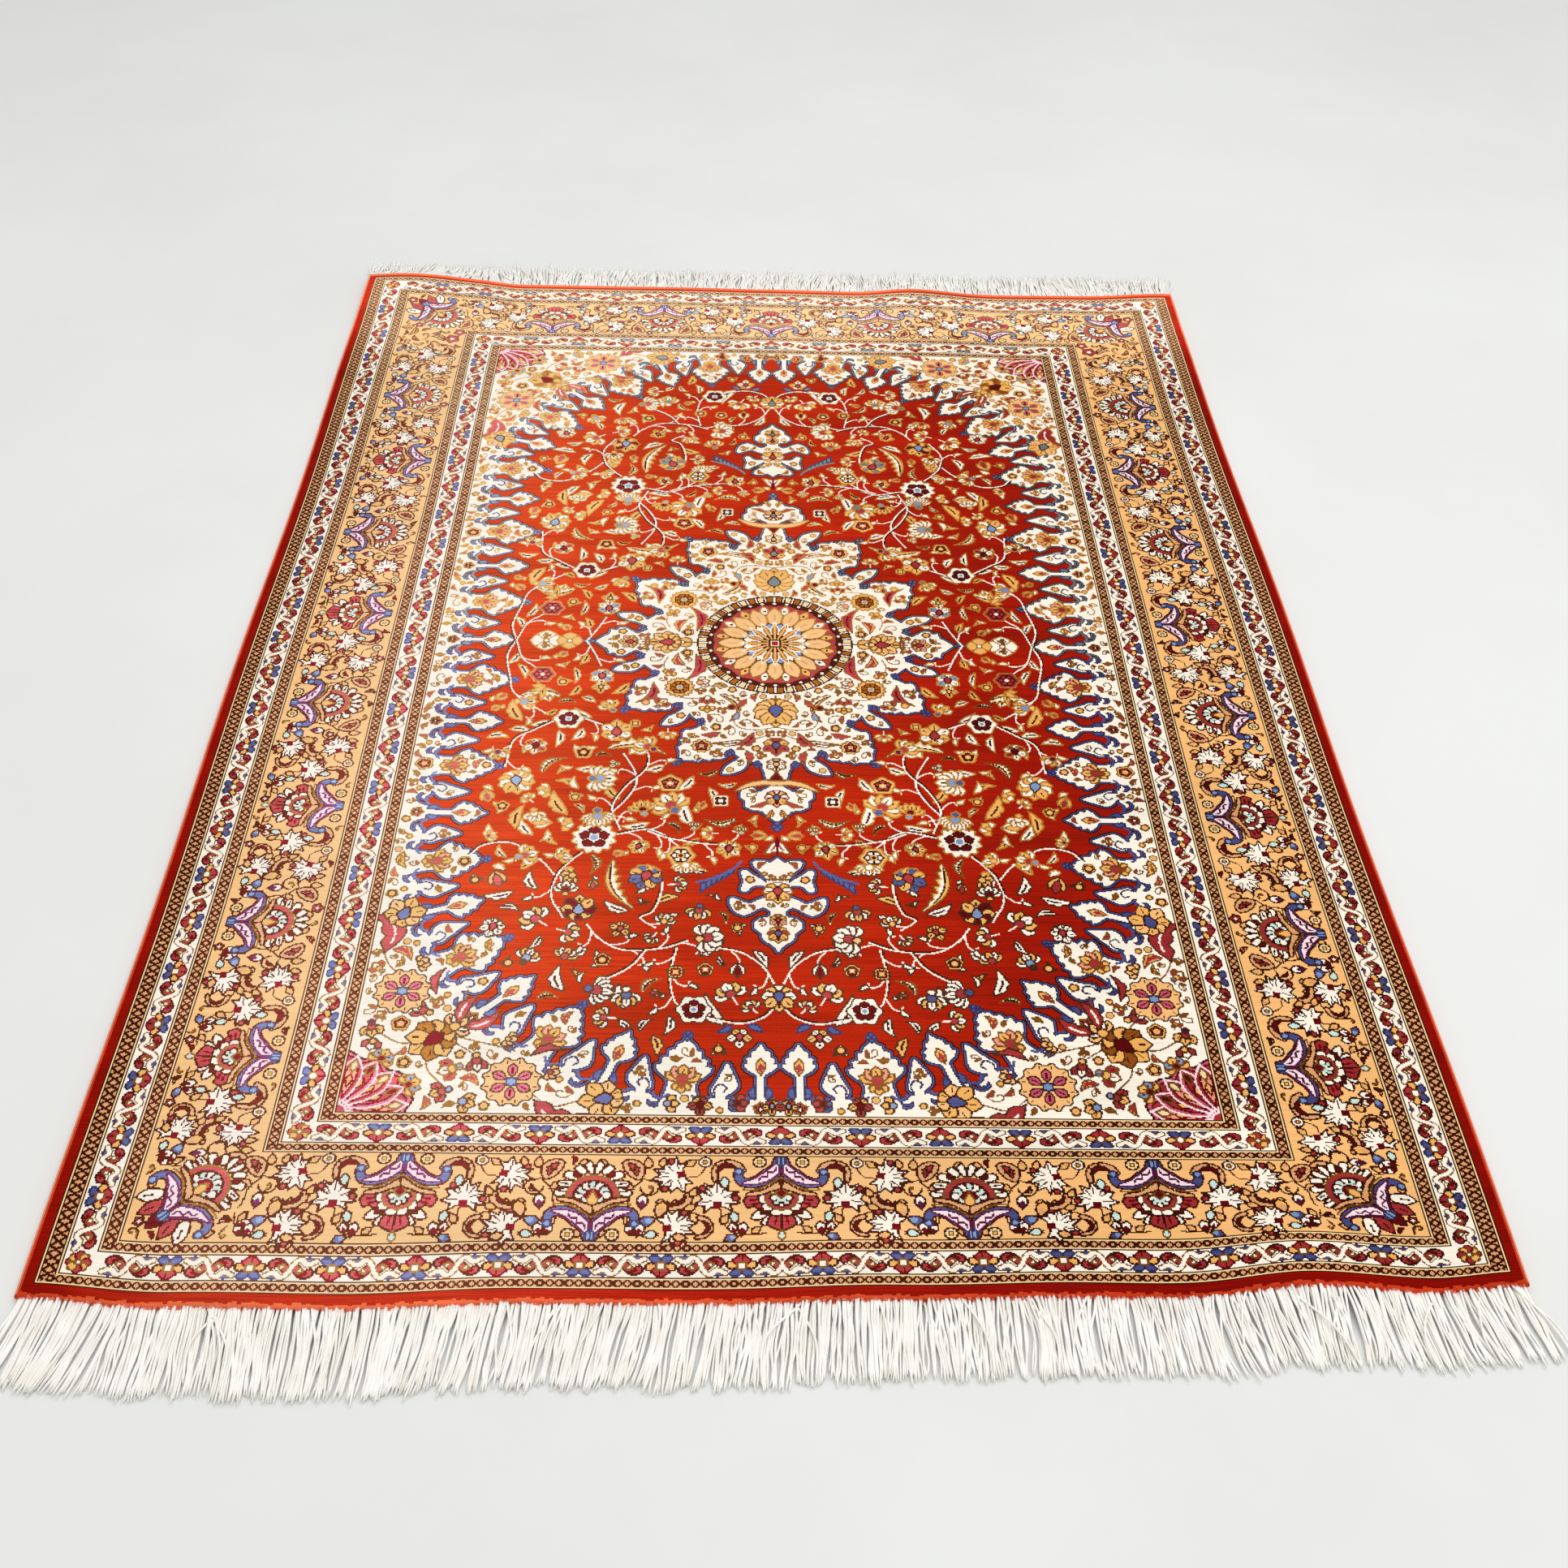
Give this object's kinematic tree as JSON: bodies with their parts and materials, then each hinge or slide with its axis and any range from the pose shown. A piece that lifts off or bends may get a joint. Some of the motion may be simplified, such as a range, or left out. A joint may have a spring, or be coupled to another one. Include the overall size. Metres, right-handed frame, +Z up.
{
  "type": "persian rug",
  "caption": "Hand-knotted silk pile rug lying flat, with a lobed central medallion, floral borders, and loose white warp fringes at both ends.",
  "frame": {"origin": "middle of the rug's underside, on the floor", "axes": "+Z up out of the pile, +Y along the rug to its far end, +X across it to the right"},
  "size_m": [1.0251, 1.5479, 0.015],
  "materials": {
    "silk_pile": "cut silk pile with a directional sheen, red field with ivory, gold and blue figures",
    "warp_fringe": "undyed silk threads, soft sheen"
  },
  "bodies": {
    "root": {"rug": "silk_pile", "fringe_near": "warp_fringe", "fringe_far": "warp_fringe"}
  },
  "joints": []
}
